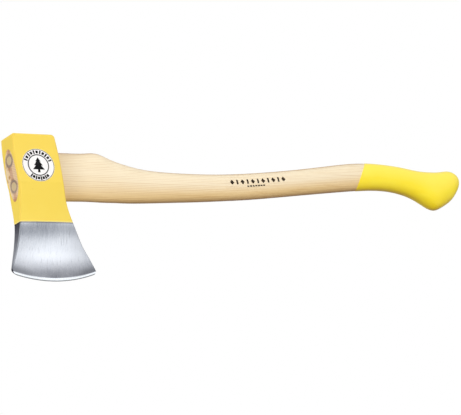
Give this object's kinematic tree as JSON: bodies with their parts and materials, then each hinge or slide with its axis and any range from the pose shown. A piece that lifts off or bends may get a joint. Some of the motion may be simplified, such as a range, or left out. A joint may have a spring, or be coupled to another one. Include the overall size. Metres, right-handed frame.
{
  "type": "felling axe",
  "caption": "Long-handled single-bit axe: flat poll, ground bit, curved ash handle wedged in the eye, lacquered head and dip-coated knob.",
  "frame": {"origin": "on the eye's axis at the head's rear face, in the middle of the handle's neck", "axes": "+X along the handle from head to knob, +Z towards the poll, -Y out of the cheek that carries the label"},
  "size_m": [0.7176, 0.0312, 0.1823],
  "materials": {
    "head_steel": "ground, brushed from poll to edge",
    "head_lacquer": "satin lacquer",
    "ash_wood": "sanded, waxed",
    "wedge_wood": "sawn end grain, sealed",
    "ring_steel": "dull, driven in",
    "dip_coat": "glossy dip coat",
    "label_film": "printed film"
  },
  "bodies": {
    "root": {"head": "head_steel", "head_paint": "head_lacquer", "handle": "ash_wood", "eye_wedge": "wedge_wood", "ring_wedge_upper": "ring_steel", "ring_wedge_lower": "ring_steel", "knob_dip": "dip_coat", "label": "label_film"}
  },
  "joints": []
}
